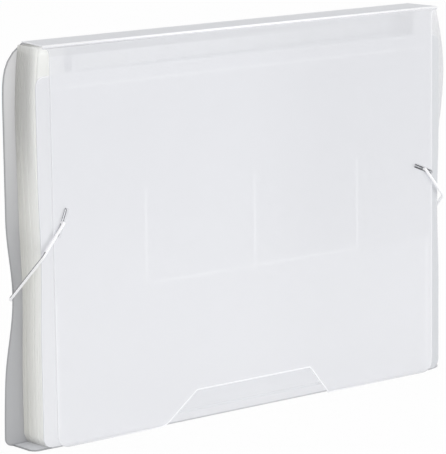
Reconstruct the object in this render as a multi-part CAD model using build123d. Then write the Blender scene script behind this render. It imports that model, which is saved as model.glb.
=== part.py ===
from build123d import *
import math
import os

# An expanding file for loose papers, standing on its bottom panel.
# X runs along the width, Y from the front flap to the back panel, Z up.
# The origin is the middle of the closed file, at the surface it stands on. Sizes are in millimetres.

# Sheet goods
cover_sheet = 0.8
leaf_sheet = 0.3
film = 0.2
paper = 0.15

# Cover, seen from the front
file_depth = 26.0
flap_width = 308.0
flap_height = 243.0
board_width = 325.0
board_drop = 18.0
bottom_margin = 8.5
back_margin = 9.0
back_height = 243.5
spine_width = 317.0
spine_taper = 3.0
flap_to_board = 1.8
crease_half = 0.6

# Outline of the cover
flap_corner = 8.0
board_top_corner = 6.0
board_bottom_corner = 6.0
back_bottom_corner = 5.0
bottom_corner = 5.0
back_flare = 4.4
flare_reach = 105.0
shoulder_height = 53.5
shoulder_power = 6
outline_step = 14.0

# The dents that the tight elastic pulls into the side edges
dent_reach = 50.0
board_dent = 1.2
board_dent_height = 113.0
back_dent = 4.0
back_dent_height = 89.0

# The pleats swell a little above the elastic
swell = 6.5
swell_reach = 80.0
swell_drop = 40.0
swell_rise = 12.0

# Thumb cut-out in the flap's bottom edge
cutout_top_width = 93.0
cutout_left = 72.0
cutout_right = 62.0
cutout_height = 19.0
cutout_flare_radius = 14.0
cutout_corner = 2.0

# Pockets, dividers and their pleated sides
pocket_count = 13
pleat_depth = 15.0
ridge_inset = 1.0
fold_half = 0.25
flange = 6.0
weld_gap = 0.1
seat_gap = 0.05
gusset_drop = 1.0
gusset_shoulder_height = 47.0
gusset_shoulder_inset = 7.0
gusset_floor_gap = 0.6
gusset_foot = 6.0
level_step = 28.0
divider_drop = 17.5
divider_corner = 4.0

# Index tabs on the dividers, with a paper label in a clear sleeve
tab_width = 44.0
tab_height = 10.0
tab_corner = 3.0
tab_row_inset = 12.3
sleeve_wall = 0.15
sleeve_rim = 1.2
label_play = 0.3

# Film pockets welded to the outside of the front board
card_pocket_width = 87.0
card_pocket_low = 92.0
card_pocket_height = 60.0
document_margin = 10.5
document_pocket_low = 6.0
pocket_gap = 1.0
weld_width = 1.4
weld_height = 0.15

# Elastic and its barbs
cord_diameter = 2.0
cord_sides = 12
hole_diameter = 3.0
hole_from_edge = 7.0
hole_height = 137.0
cord_face_gap = 0.2
cord_edge_gap = 0.6
hole_bend = 1.6
front_bend = 3.5
back_bend = 1.8
edge_height = 118.0
barb_length = 18.0
barb_width = 2.4
barb_thickness = 1.2
barb_groove_width = 0.9
barb_groove_depth = 0.45
left_barb_tilt = 67.0
right_barb_tilt = -22.0

# Places along Y, worked out from the front
flap_face = -file_depth / 2
flap_inside = flap_face + cover_sheet
board_face = flap_inside + flap_to_board
board_inside = board_face + cover_sheet
back_face = file_depth / 2
back_inside = back_face - cover_sheet
flap_middle = flap_face + cover_sheet / 2
board_middle = board_face + cover_sheet / 2
back_middle = back_face - cover_sheet / 2
pitch = (back_inside - board_inside) / pocket_count
divider_y = [board_inside + pitch * n for n in range(1, pocket_count)]

# Places along X and Z
half_flap = flap_width / 2
half_board = board_width / 2
half_spine = spine_width / 2
half_spine_back = half_spine - spine_taper
ridge_half = half_board - ridge_inset
half_bottom = ridge_half + bottom_margin
half_back = ridge_half + back_margin
valley_half = ridge_half - pleat_depth
divider_half = valley_half - film / 2 - weld_gap
bottom_ridge = cover_sheet + gusset_floor_gap + film / 2
bottom_valley = bottom_ridge + pleat_depth
divider_low = bottom_valley + film / 2 + weld_gap
board_low = cover_sheet / 2 + crease_half
back_top = back_height - crease_half
shoulder_start = back_height - shoulder_height

# Everything under the cover is measured down from the lower of its two top creases.
lower_crease = min(flap_height, back_height)
board_height = lower_crease - board_drop
divider_top = lower_crease - divider_drop
gusset_top = lower_crease - gusset_drop
gusset_shoulder = gusset_top - gusset_shoulder_height
swell_height = lower_crease - swell_drop


def upright(outline, y, thickness):
    """A flat sheet standing in the XZ plane, from y towards the back."""
    return extrude(Plane.XZ.offset(-y) * outline, -thickness)


def swing(z, height, reach, depth):
    """A smooth rise to depth at one height, fading out within reach above and below it."""
    along = (z - height) / reach
    return depth * math.cos(math.pi / 2 * along) ** 2 if abs(along) < 1 else 0.0


def board_half_at(z):
    return half_board - swing(z, board_dent_height, dent_reach, board_dent)


def back_half_at(z):
    flare = swing(z, 0, flare_reach, back_flare)
    rise = max(0.0, (z - shoulder_start) / (back_top - shoulder_start))
    shoulder = (half_back - half_spine_back) * rise**shoulder_power
    return half_back + flare - shoulder - swing(z, back_dent_height, dent_reach, back_dent)


def ridge_half_at(z, y):
    """Half width over the pleats' outer folds: dented, swollen above, with a shoulder and a foot."""
    share = (y - board_inside) / (back_inside - board_inside)
    height = board_dent_height + share * (back_dent_height - board_dent_height)
    inward = swing(z, height, dent_reach, board_dent)
    outward = swing(z, swell_height, swell_reach, swell) * min(1.0, swell_rise * share * (1 - share))
    rise = max(0.0, (z - gusset_shoulder) / gusset_shoulder_height)
    drop = max(0.0, gusset_foot - z)
    foot = gusset_foot - math.sqrt(gusset_foot**2 - drop**2)
    return ridge_half + outward - inward - gusset_shoulder_inset * rise**2 - foot


def even_heights(low, high, step):
    count = round((high - low) / step)
    return [low + (high - low) * n / count for n in range(count + 1)]


def symmetric_outline(half_width, low, high):
    """A face whose two sides follow half_width, mirrored, between level bottom and top edges."""
    right = [(half_width(z), z) for z in even_heights(low, high, outline_step)]
    left = [(-x, z) for x, z in reversed(right)]
    top = Line(right[-1], left[0])
    bottom = Line(left[-1], right[0])
    return make_face([Spline(*right), top, Spline(*left), bottom])


def corners(outline, low_radius, high_radius):
    """Rounds the two lowest and the two highest corners of an outline."""
    if high_radius:
        outline = fillet(outline.vertices().group_by(Axis.Y)[-1], high_radius)
    return fillet(outline.vertices().group_by(Axis.Y)[0], low_radius)


# Front board and back panel
board_outline = symmetric_outline(board_half_at, board_low, board_height)
board_outline = corners(board_outline, board_bottom_corner, board_top_corner)
front_board = upright(board_outline, board_face, cover_sheet)

back_outline = symmetric_outline(back_half_at, 0, back_top)
back_outline = corners(back_outline, back_bottom_corner, 0)
back_panel = upright(back_outline, back_inside, cover_sheet)

# Bottom panel, from the crease under the front board to the back panel
bottom_front = board_middle + crease_half
bottom_depth = back_inside - bottom_front
bottom_outline = Pos(0, bottom_front + bottom_depth / 2) * Rectangle(2 * half_bottom, bottom_depth)
bottom_outline = fillet(bottom_outline.vertices().group_by(Axis.Y)[0], bottom_corner)
bottom_panel = extrude(bottom_outline, cover_sheet)

# Spine panel: it slopes from the crease over the back panel down to the crease over the flap.
front_crease = (flap_middle, flap_height)
back_crease = (back_middle, back_height)
spine_slope = math.degrees(math.atan2(back_height - flap_height, back_middle - flap_middle))
spine_length = math.dist(front_crease, back_crease)
spine_near = crease_half
spine_far = spine_length - crease_half
spine_corners = [
    (-half_spine, spine_near),
    (half_spine, spine_near),
    (half_spine_back, spine_far),
    (-half_spine_back, spine_far),
]
spine_outline = make_face(Polyline(*spine_corners, close=True))
spine_flat = extrude(spine_outline, cover_sheet / 2, both=True)
spine_panel = Pos(0, *front_crease) * Rot(spine_slope, 0, 0) * spine_flat

# Front flap: it widens to the spine in two hollow curves, and has round lower corners, a thumb
# cut-out and a hole near each side for the elastic.
flap_outline = Rectangle(flap_width, flap_height - crease_half, align=(Align.CENTER, Align.MIN))
flap_outline = fillet(flap_outline.vertices().group_by(Axis.Y)[0], flap_corner)
flap_ear = half_spine - half_flap
ear_low = flap_height - crease_half - flap_ear
for side in (-1, 1):
    ear = Pos(side * (half_flap + flap_ear / 2), ear_low + flap_ear / 2) * Rectangle(flap_ear, flap_ear)
    flap_outline += ear - Pos(side * half_spine, ear_low) * Circle(flap_ear)
cutout_corners = [
    (-cutout_left, 0),
    (-cutout_top_width / 2, cutout_height),
    (cutout_top_width / 2, cutout_height),
    (cutout_right, 0),
]
cutout = make_face(Polyline(*cutout_corners, close=True))
cutout = fillet(cutout.vertices().group_by(Axis.Y)[-1], cutout_corner)
flap_outline -= cutout
flare_vertex = flap_outline.vertices().sort_by_distance((-cutout_left, 0))[0]
flap_outline = fillet(flare_vertex, cutout_flare_radius)
hole_x = half_flap - hole_from_edge
flap_outline -= Locations((-hole_x, hole_height), (hole_x, hole_height)) * Circle(hole_diameter / 2)
front_flap = upright(flap_outline, flap_face, cover_sheet)


def wave(half_at, first_side):
    """Outline of a pleated film: its outer folds at half_at(y), its inner folds at the dividers.

    first_side is the film's weld flange along the board and the back panel. Gives the points of
    the side away from the papers, then those of the side that faces them, as (outward, y).
    """
    outer = []
    inner = []
    t = film / 2
    start = board_inside + seat_gap
    end = back_inside - seat_gap
    outer += [(first_side, start), (valley_half + t, start)]
    inner += [(first_side, start + film), (valley_half - t, start + film)]
    for n in range(pocket_count):
        middle = board_inside + pitch * (n + 0.5)
        reach = half_at(middle)
        outer += [(reach + t, middle - fold_half - t), (reach + t, middle + fold_half + t)]
        inner += [(reach - t, middle - fold_half + t), (reach - t, middle + fold_half - t)]
        if n < pocket_count - 1:
            at = divider_y[n]
            outer += [(valley_half + t, at - fold_half + t), (valley_half + t, at + fold_half - t)]
            inner += [(valley_half - t, at - fold_half - t), (valley_half - t, at + fold_half + t)]
    outer += [(valley_half + t, end), (first_side, end)]
    inner += [(valley_half - t, end - film), (first_side, end - film)]
    return outer + inner[::-1]


# Side gussets: the same pleats at each level, lofted straight from one level to the next
flange_half = valley_half - flange
levels = [bottom_ridge - film / 2, gusset_foot]
levels += even_heights(back_dent_height - dent_reach, board_dent_height + dent_reach, level_step)
levels += even_heights(gusset_shoulder, gusset_top, level_step)
sections = []
for level in levels:
    points = wave(lambda y: ridge_half_at(level, y), flange_half)
    sections.append(Pos(0, 0, level) * make_face(Polyline(*points, close=True)))
right_gusset = loft(sections, ruled=True)
left_gusset = mirror(right_gusset, Plane.YZ)

# Bottom gusset: pleats that point down, between the side gussets
down = wave(lambda y: valley_half + pleat_depth, flange_half)
bottom_points = [(y, bottom_valley + valley_half - reach) for reach, y in down]
bottom_wave = make_face(Polyline(*bottom_points, close=True))
bottom_half = flange_half - weld_gap
bottom_gusset = extrude(Plane.YZ.offset(-bottom_half) * bottom_wave, 2 * bottom_half)

# Dividers with index tabs that step across the file, each with its label in a clear sleeve
divider_height = divider_top - divider_low
divider_plate = Pos(0, divider_low) * Rectangle(
    2 * divider_half, divider_height, align=(Align.CENTER, Align.MIN)
)
divider_plate = fillet(divider_plate.vertices().group_by(Axis.Y)[-1], divider_corner)
tab_row_half = divider_half - tab_row_inset
tab_pitch = (2 * tab_row_half - tab_width) / (pocket_count - 2)
sleeve_thickness = paper + 2 * sleeve_wall
label_width = tab_width - 2 * (tab_corner + sleeve_rim)
label_height = tab_height - 2 * sleeve_rim
sleeve_width = label_width + 2 * sleeve_rim
sleeve_height = label_height + sleeve_rim
dividers = []
tab_sleeves = []
tab_labels = []
for n, y in enumerate(divider_y):
    tab_x = -tab_row_half + tab_width / 2 + n * tab_pitch
    tab = Rectangle(tab_width, 2 * tab_height)
    tab = fillet(tab.vertices(), tab_corner)
    leaf_outline = divider_plate + Pos(tab_x, divider_top) * tab
    leaf_face = y - leaf_sheet / 2
    dividers.append(upright(leaf_outline, leaf_face, leaf_sheet))

    sleeve_low = Pos(tab_x, divider_top + sleeve_height / 2 + seat_gap)
    sleeve = upright(sleeve_low * Rectangle(sleeve_width, sleeve_height), leaf_face, -sleeve_thickness)
    slot_width = label_width + label_play
    slot_place = Pos(tab_x, divider_top + sleeve_rim + seat_gap + sleeve_height / 2)
    slot = slot_place * Rectangle(slot_width, sleeve_height)
    sleeve -= upright(slot, leaf_face - sleeve_wall, -(paper + 2 * seat_gap))
    tab_sleeves.append(sleeve)

    label_place = Pos(tab_x, divider_top + sleeve_rim + 2 * seat_gap + label_height / 2)
    label = label_place * Rectangle(label_width, label_height)
    tab_labels.append(upright(label, leaf_face - sleeve_wall - seat_gap, -paper))

# Film pockets on the front board: two card pockets side by side above a wide document pocket
card_outline = Pos(0, card_pocket_low) * Rectangle(
    2 * card_pocket_width, card_pocket_height, align=(Align.CENTER, Align.MIN)
)
weld_strips = Pos(0, card_pocket_low + weld_width / 2) * Rectangle(2 * card_pocket_width, weld_width)
for x in (-card_pocket_width + weld_width / 2, 0, card_pocket_width - weld_width / 2):
    strip = Rectangle(weld_width, card_pocket_height, align=(Align.CENTER, Align.MIN))
    weld_strips += Pos(x, card_pocket_low) * strip
card_face = board_face - weld_height
card_pocket = upright(card_outline, card_face, -film) + upright(weld_strips, board_face, -weld_height)

document_top = card_pocket_low - pocket_gap
document_height = document_top - document_pocket_low
document_half = half_board - document_margin
document_outline = Pos(0, document_pocket_low) * Rectangle(
    2 * document_half, document_height, align=(Align.CENTER, Align.MIN)
)
document_mouth = Pos(0, document_pocket_low + weld_width) * Rectangle(
    2 * (document_half - weld_width), document_height, align=(Align.CENTER, Align.MIN)
)
document_welds = document_outline - document_mouth
document_pocket = upright(document_outline, card_face, -film)
document_pocket += upright(document_welds, board_face, -weld_height)

# Elastic: from the barb through the hole, across the face, round the board's edge and back to the
# panel behind, then straight across to the other side
radius = cord_diameter / 2
run_y = flap_face - radius - cord_face_gap
barb_face = flap_inside + cord_face_gap
back_y = back_face + radius + cord_face_gap
edge_x = board_half_at(edge_height) + radius + cord_edge_gap
back_x = back_half_at(back_dent_height) + radius + cord_edge_gap
right_route = [
    (hole_x, barb_face, hole_height),
    (hole_x, run_y, hole_height),
    (edge_x, run_y, edge_height),
    (back_x, back_y, back_dent_height),
]
left_route = [(-x, y, z) for x, y, z in right_route]
route = left_route + right_route[::-1]
bends = [hole_bend, front_bend, back_bend, back_bend, front_bend, hole_bend]
cord_path = FilletPolyline(*route, radius=bends)
cord_start = Plane(origin=route[0], z_dir=(0, -1, 0))
elastic_cord = sweep(cord_start * RegularPolygon(radius, cord_sides), path=cord_path)
print("cord bend radii", bends, "mm, length", round(cord_path.length, 1), "mm")


def barb(x, tilt):
    """A rolled metal strip across the hole, behind the flap, that holds the elastic's end."""
    strip = extrude(Plane.XZ * SlotOverall(barb_length, barb_width), -barb_thickness)
    groove = extrude(Plane.XZ * SlotOverall(barb_length - barb_width, barb_groove_width), -barb_groove_depth)
    strip -= Pos(0, barb_thickness - barb_groove_depth, 0) * groove
    return Pos(x, barb_face, hole_height) * Rot(0, -tilt, 0) * strip


left_barb = barb(-hole_x, left_barb_tilt)
right_barb = barb(hole_x, right_barb_tilt)

# Every piece by its name
pieces = {
    "front_flap": front_flap,
    "spine_panel": spine_panel,
    "back_panel": back_panel,
    "bottom_panel": bottom_panel,
    "front_board": front_board,
    "left_gusset": left_gusset,
    "right_gusset": right_gusset,
    "bottom_gusset": bottom_gusset,
    "card_pocket": card_pocket,
    "document_pocket": document_pocket,
    "elastic_cord": elastic_cord,
    "left_barb": left_barb,
    "right_barb": right_barb,
}
for n in range(pocket_count - 1):
    pieces[f"divider_{n + 1:02d}"] = dividers[n]
    pieces[f"tab_sleeve_{n + 1:02d}"] = tab_sleeves[n]
    pieces[f"tab_label_{n + 1:02d}"] = tab_labels[n]

os.makedirs("parts", exist_ok=True)
for name, piece in pieces.items():
    export_step(piece, f"parts/{name}.step")
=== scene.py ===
# %% [markdown]
# An expanding file for loose papers: a creased cover of frosted plastic sheet, pleated film pockets
# inside it, and a white elastic that goes round the back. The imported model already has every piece
# at its real size. This lesson dresses it: it gives the sheets their bright cut edges and creases,
# the film its soft pleats, and each material the finish that the real one has.
# Everything is in metres, +X along the width, +Y from the flap to the back, +Z up.

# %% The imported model
import math

import bmesh
import bpy
from mathutils import Matrix, Vector


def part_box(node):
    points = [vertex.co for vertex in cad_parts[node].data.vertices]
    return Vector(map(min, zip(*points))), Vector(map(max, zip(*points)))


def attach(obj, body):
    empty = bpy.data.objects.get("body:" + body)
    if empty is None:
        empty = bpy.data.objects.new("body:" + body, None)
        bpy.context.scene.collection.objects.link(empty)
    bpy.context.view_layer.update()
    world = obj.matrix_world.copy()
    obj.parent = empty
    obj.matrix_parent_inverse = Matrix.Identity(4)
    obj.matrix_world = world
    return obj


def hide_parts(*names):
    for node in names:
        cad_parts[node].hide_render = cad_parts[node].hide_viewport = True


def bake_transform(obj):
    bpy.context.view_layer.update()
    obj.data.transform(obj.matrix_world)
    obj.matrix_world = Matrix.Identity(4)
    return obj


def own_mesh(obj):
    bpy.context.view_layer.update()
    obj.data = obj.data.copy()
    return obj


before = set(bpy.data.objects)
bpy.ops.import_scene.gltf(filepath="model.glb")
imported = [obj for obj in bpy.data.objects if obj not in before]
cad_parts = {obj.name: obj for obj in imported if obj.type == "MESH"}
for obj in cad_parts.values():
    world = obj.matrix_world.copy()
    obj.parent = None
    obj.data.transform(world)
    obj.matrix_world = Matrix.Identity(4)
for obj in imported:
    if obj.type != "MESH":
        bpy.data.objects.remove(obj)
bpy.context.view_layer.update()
MM = 0.001

# %% [markdown]
# The camera comes first. The corners of the flap in the photograph give its place: left of the
# file, a little above it and well back, so the lines across the face run almost parallel.
# The camera's own axes are worked out from its yaw, pitch and roll.

# %% Camera
CAMERA_YAW, CAMERA_PITCH, CAMERA_ROLL = math.radians(-39.25), math.radians(10.14), math.radians(-0.74)
CAMERA_PLACE = Vector((-1.1352, -1.3726, 0.4334))
FOCAL_PIXELS = 2873.0
IMAGE_HEIGHT = 454
SENSOR = 36.0

back = Vector((
    math.sin(CAMERA_YAW) * math.cos(CAMERA_PITCH),
    -math.cos(CAMERA_YAW) * math.cos(CAMERA_PITCH),
    math.sin(CAMERA_PITCH),
))
level_right = Vector((0, 0, 1)).cross(back).normalized()
level_up = back.cross(level_right)
right = math.cos(CAMERA_ROLL) * level_right + math.sin(CAMERA_ROLL) * level_up
up = math.cos(CAMERA_ROLL) * level_up - math.sin(CAMERA_ROLL) * level_right

camera = bpy.data.objects.new("camera", bpy.data.cameras.new("camera"))
bpy.context.scene.collection.objects.link(camera)
bpy.context.scene.camera = camera
camera.location = CAMERA_PLACE
camera.rotation_mode = "QUATERNION"
camera.rotation_quaternion = Matrix((right, up, back)).transposed().to_quaternion()
camera.data.sensor_width = SENSOR
camera.data.lens = FOCAL_PIXELS * SENSOR / IMAGE_HEIGHT
camera.data.clip_start, camera.data.clip_end = 0.05, 30.0
print("lens", round(camera.data.lens, 1), "mm")

# %% [markdown]
# These are the sizes that several pieces share. Those that a node's box can tell are read from it,
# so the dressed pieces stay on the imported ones; the rest are the real sizes of the sheet and film.

# %% Shared sizes
flap_low, flap_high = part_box("front_flap")
board_low, board_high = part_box("front_board")
back_low, back_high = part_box("back_panel")
base_low, base_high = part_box("bottom_panel")
SHEET = flap_high.y - flap_low.y
FILM = 0.2 * MM
CREASE_HALF = 0.6 * MM
FLAP_TOP = flap_high.z + CREASE_HALF
BACK_TOP = back_high.z + CREASE_HALF
HALF_SPINE = flap_high.x
FLAP_EAR = 4.5 * MM
HALF_FLAP = HALF_SPINE - FLAP_EAR
HALF_BOARD = board_high.x
SPINE_TAPER = 3.0 * MM
HALF_SPINE_BACK = HALF_SPINE - SPINE_TAPER
POCKETS = 13
RIDGE_INSET = 1.0 * MM
PLEAT_DEPTH = 15.0 * MM
RIDGE_HALF = HALF_BOARD - RIDGE_INSET
VALLEY_HALF = RIDGE_HALF - PLEAT_DEPTH
HALF_BACK = RIDGE_HALF + 9.0 * MM
PITCH = (back_low.y - board_high.y) / POCKETS
print("sheet", round(SHEET / MM, 2), "mm, pleat pitch", round(PITCH / MM, 3), "mm")


def swing(z, height, reach, depth):
    """A smooth rise to depth at one height, fading out within reach above and below it."""
    along = (z - height) / reach
    return depth * math.cos(math.pi / 2 * along) ** 2 if abs(along) < 1 else 0.0


# %% [markdown]
# The elastic is one tight cord: from behind the left hole, over the flap, round the edges of the
# board and the back panel, straight across the back, and the same way on the other side. Its route
# is a smooth spline whose control points sit close to each edge it turns round, so that the
# stretches between them stay straight, as a tight elastic is.

# %% Elastic route
CORD_DIAMETER = 2.0 * MM
HOLE_X, HOLE_Z = 147.0 * MM, 137.0 * MM
RUN_Y, CORD_BACK_Y = -14.2 * MM, 14.2 * MM
right_route = [
    (0.1470, -0.0120, 0.1370),
    (0.1470, -0.0136, 0.1370),
    (0.1471, RUN_Y, 0.1369),
    (0.1486, RUN_Y, 0.1350),
    (0.1608, RUN_Y, 0.1206),
    (0.1629, RUN_Y, 0.1180),
    (0.1634, -0.0117, 0.1155),
    (0.1674, 0.0115, 0.0917),
    (0.1679, CORD_BACK_Y, 0.0890),
    (0.1641, CORD_BACK_Y, 0.0890),
]
left_route = [(-x, y, z) for x, y, z in right_route]
route = left_route + right_route[::-1]


def spline_points(name, points):
    """The points of a smooth open spline of order 3 that starts and ends on its control points."""
    curve = bpy.data.curves.new(name, "CURVE")
    curve.dimensions = "3D"
    spline = curve.splines.new("NURBS")
    spline.points.add(len(points) - 1)
    for point, place in zip(spline.points, points):
        point.co = (*place, 1.0)
    spline.order_u = 3
    spline.use_endpoint_u = True
    spline.resolution_u = 16
    holder = bpy.data.objects.new(name, curve)
    mesh = bpy.data.meshes.new_from_object(holder)
    line = [v.co.copy() for v in mesh.vertices]
    bpy.data.meshes.remove(mesh)
    bpy.data.objects.remove(holder)
    bpy.data.curves.remove(curve)
    return line


def even_steps(line, step):
    """Points spaced evenly along a line of points."""
    out = [line[0].copy()]
    left_over = step
    for a, b in zip(line, line[1:]):
        run = (b - a).length
        while run > 0 and left_over <= run:
            out.append(a.lerp(b, left_over / run))
            left_over += step
        left_over -= run
    return out


CORD_STEP = 0.5 * MM
cord_line = even_steps(spline_points("route", route), CORD_STEP)
print("elastic", round(sum((b - a).length for a, b in zip(cord_line, cord_line[1:])), 4), "m")

# %% [markdown]
# Most pieces are made from lists of points and faces, so one helper turns those into an object.
# A number per point can go with it: a material reads it back, for instance to whiten an edge.

# %% Mesh helper


def mesh_piece(name, points, faces, smooth=True, **numbers):
    """An object from points and faces, with a named number on each point where one is given."""
    mesh = bpy.data.meshes.new(name)
    mesh.from_pydata([tuple(p) for p in points], [], faces)
    for label, values in numbers.items():
        attribute = mesh.attributes.new(label, "FLOAT", "POINT")
        attribute.data.foreach_set("value", values)
    work = bmesh.new()
    work.from_mesh(mesh)
    bmesh.ops.recalc_face_normals(work, faces=work.faces)
    work.to_mesh(mesh)
    work.free()
    mesh.shade_smooth() if smooth else mesh.shade_flat()
    piece = bpy.data.objects.new(name, mesh)
    bpy.context.scene.collection.objects.link(piece)
    return piece


def tube(rings):
    """Faces that join closed rings of equal length, with a cap on the first and the last."""
    n, count = len(rings[0]), len(rings)
    points = [p for ring in rings for p in ring]
    faces = [
        (r * n + i, r * n + (i + 1) % n, (r + 1) * n + (i + 1) % n, (r + 1) * n + i)
        for r in range(count - 1)
        for i in range(n)
    ]
    faces += [tuple(range(n))[::-1], tuple(range((count - 1) * n, count * n))]
    return points, faces


# %% [markdown]
# The elastic is braided: two sets of strands wind round it in opposite directions and pass over
# and under each other. A tube whose surface rises where a strand is on top gives that as real
# relief, which a picture of a braid on a smooth tube would not. A wave that runs one way round
# and a second that runs the other way make the diamonds where they meet. A second number, shade,
# says how far a point on the left side looks up and back, where the cord gets painted shade.

# %% Elastic cord
BRAID_SIDES = 20
BRAID_STRANDS = 4
BRAID_LENGTH = 5.0 * MM
BRAID_RELIEF = 0.10
REAR_UP = Vector((0, 1, 1)).normalized()


def frames_along(line):
    """A steady pair of side directions at each point of a line, carried along without twist."""
    side = Vector((0, 0, 1))
    out = []
    for i in range(len(line)):
        ahead = (line[min(i + 1, len(line) - 1)] - line[max(i - 1, 0)]).normalized()
        side = side - ahead * side.dot(ahead)
        side = side.normalized() if side.length > 1e-6 else ahead.orthogonal().normalized()
        out.append((side, ahead.cross(side)))
    return out


def braided_tube(name, line, diameter):
    """A tube along a line whose surface rises and falls with the strands of a braid."""
    rings, strands, shades = [], [], []
    for i, (here, (side, across)) in enumerate(zip(line, frames_along(line))):
        wind = 2 * math.pi * i * CORD_STEP / BRAID_LENGTH
        on_side = here.x < 2.0 * MM - HALF_BOARD and here.y < CORD_BACK_Y - MM
        ring = []
        for k in range(BRAID_SIDES):
            turn = 2 * math.pi * k / BRAID_SIDES
            one_way = math.cos(BRAID_STRANDS / 2 * turn + wind)
            other_way = math.cos(BRAID_STRANDS / 2 * turn - wind)
            over = abs(one_way * other_way)
            radius = diameter / 2 * (1 - BRAID_RELIEF * (1 - over))
            outward = math.cos(turn) * side + math.sin(turn) * across
            ring.append(here + radius * outward)
            strands.append(over)
            shades.append(outward.dot(REAR_UP) if on_side else -1.0)
        rings.append(ring)
    points, faces = tube(rings)
    return mesh_piece(name, points, faces, strand=strands, shade=shades)


elastic = braided_tube("braided_elastic", cord_line, CORD_DIAMETER)
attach(elastic, "flap")
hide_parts("elastic_cord")
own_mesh(elastic)
print("elastic points", len(elastic.data.vertices))

# %% [markdown]
# The cover is die-cut from one plastic sheet. What tells the eye that it is plastic sheet and not
# card is its edge: light that gets into the sheet comes out at the cut, so each cut edge glows
# white. A flat solid has no room for that, so each panel is made again from its outline, with
# narrow rings of faces along the cut that round it off and carry a number called rim, 1 at the
# edge and 0 inside.

# %% Outlines
ARC_STEPS = 8


def rounded(corners, radii):
    """A closed outline through corners, each rounded with its own radius."""
    out = []
    for i, (corner, radius) in enumerate(zip(corners, radii)):
        here = Vector(corner)
        before = (Vector(corners[i - 1]) - here).normalized()
        after = (Vector(corners[(i + 1) % len(corners)]) - here).normalized()
        half = before.angle(after) / 2
        if radius <= 0 or half > math.pi / 2 - 0.01:
            out.append(here)
            continue
        centre = here + (before + after).normalized() * radius / math.sin(half)
        start = here + before * radius / math.tan(half) - centre
        end = here + after * radius / math.tan(half) - centre
        sweep = start.angle_signed(end)
        for step in range(ARC_STEPS + 1):
            turn = -sweep * step / ARC_STEPS
            out.append(centre + Vector((
                start.x * math.cos(turn) - start.y * math.sin(turn),
                start.x * math.sin(turn) + start.y * math.cos(turn),
            )))
    return out


def heights(low, high, low_radius, high_radius, step=5.0 * MM):
    """Heights from low to high, closer together where a corner is rounded."""
    turns = [math.pi / 2 * n / ARC_STEPS for n in range(ARC_STEPS + 1)]
    out = [low + low_radius * (1 - math.cos(turn)) for turn in turns[:-1]]
    a, b = low + low_radius, high - high_radius
    count = max(1, round((b - a) / step))
    out += [a + (b - a) * n / count for n in range(count + 1)]
    if high_radius:
        out += [high - high_radius * (1 - math.sin(turn)) for turn in turns[1:]]
    return out


def two_sided(half_at, low, high, low_radius, high_radius):
    """A closed outline whose sides follow half_at, with rounded corners."""
    side = []
    for z in heights(low, high, low_radius, high_radius):
        foot = max(0.0, low + low_radius - z)
        head = max(0.0, z - high + high_radius)
        cut = low_radius - math.sqrt(max(0.0, low_radius**2 - foot**2))
        cut += high_radius - math.sqrt(max(0.0, high_radius**2 - head**2))
        side.append((half_at(z) - cut, z))
    return [Vector(p) for p in side] + [Vector((-x, z)) for x, z in reversed(side)]


# %% [markdown]
# A sheet could be a flat outline with a Solidify and a Bevel modifier, but those know nothing of
# the rim. So the sheet is built ring by ring: each row below says how far in from the cut a ring
# lies, how deep it is below the face, and its rim number. The rest is filled with triangles.

# %% Die-cut sheets
RIM_RINGS = [
    (1.00 * MM, 0.0, 0.0),
    (0.55 * MM, 0.0, 0.7),
    (0.12 * MM, 0.0, 1.0),
    (0.0, 0.12 * MM, 1.0),
]


def moved_in(loop, distance):
    """A closed loop moved to its left by distance, which is inwards for an anticlockwise one."""
    out = []
    for i, here in enumerate(loop):
        before = (here - loop[i - 1]).normalized()
        after = (loop[(i + 1) % len(loop)] - here).normalized()
        normal = Vector((-before.y, before.x)) + Vector((-after.y, after.x))
        normal.normalize()
        stretch = max(0.5, normal.dot(Vector((-before.y, before.x))))
        out.append(here + normal * distance / stretch)
    return out


def distinct(loop):
    """A loop without points that repeat the one before."""
    return [p for i, p in enumerate(loop) if (p - loop[i - 1]).length > 1e-6]


def die_cut(name, loops, place, thickness, body, node, glow=lambda u, v: 1.0):
    """A sheet from its outline and holes: place(u, v, w) puts a point at depth w into the sheet.

    glow(u, v) is how much of the rim's effect there is at a point of the outline.
    """
    work = bmesh.new()
    rim_layer = work.verts.layers.float.new("rim")
    flat_faces = set()
    sides = []
    for side in (0, 1):
        rings_of_loop = []
        for loop in loops:
            rings = []
            for inset, depth, rim in RIM_RINGS:
                w = depth if side == 0 else thickness - depth
                ring = []
                for p in moved_in(loop, inset):
                    vert = work.verts.new(place(p.x, p.y, w))
                    vert[rim_layer] = rim * glow(p.x, p.y)
                    ring.append(vert)
                rings.append(ring)
            rings_of_loop.append(rings)
        sides.append(rings_of_loop)
        edges = []
        for rings in rings_of_loop:
            n = len(rings[0])
            for inner, outer in zip(rings, rings[1:]):
                for i in range(n):
                    work.faces.new((inner[i], inner[(i + 1) % n], outer[(i + 1) % n], outer[i]))
            edges += [work.edges.get((rings[0][i], rings[0][(i + 1) % n])) for i in range(n)]
        filled = bmesh.ops.triangle_fill(work, edges=edges, use_beauty=True)
        flat_faces.update(f for f in filled["geom"] if isinstance(f, bmesh.types.BMFace))
    for front, behind in zip(*sides):
        n = len(front[-1])
        for i in range(n):
            work.faces.new((front[-1][i], front[-1][(i + 1) % n], behind[-1][(i + 1) % n], behind[-1][i]))
    bmesh.ops.recalc_face_normals(work, faces=work.faces)
    mesh = bpy.data.meshes.new(name)
    for face in work.faces:
        face.smooth = face not in flat_faces
    work.to_mesh(mesh)
    work.free()
    piece = bpy.data.objects.new(name, mesh)
    bpy.context.scene.collection.objects.link(piece)
    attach(piece, body)
    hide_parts(node)
    return piece


# %% [markdown]
# The flap is a rectangle with rounded lower corners, the thumb cut-out, and a hole near each side.
# The cut-out flares wide on the left and ends sharp on the right, as in the photograph.

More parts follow.
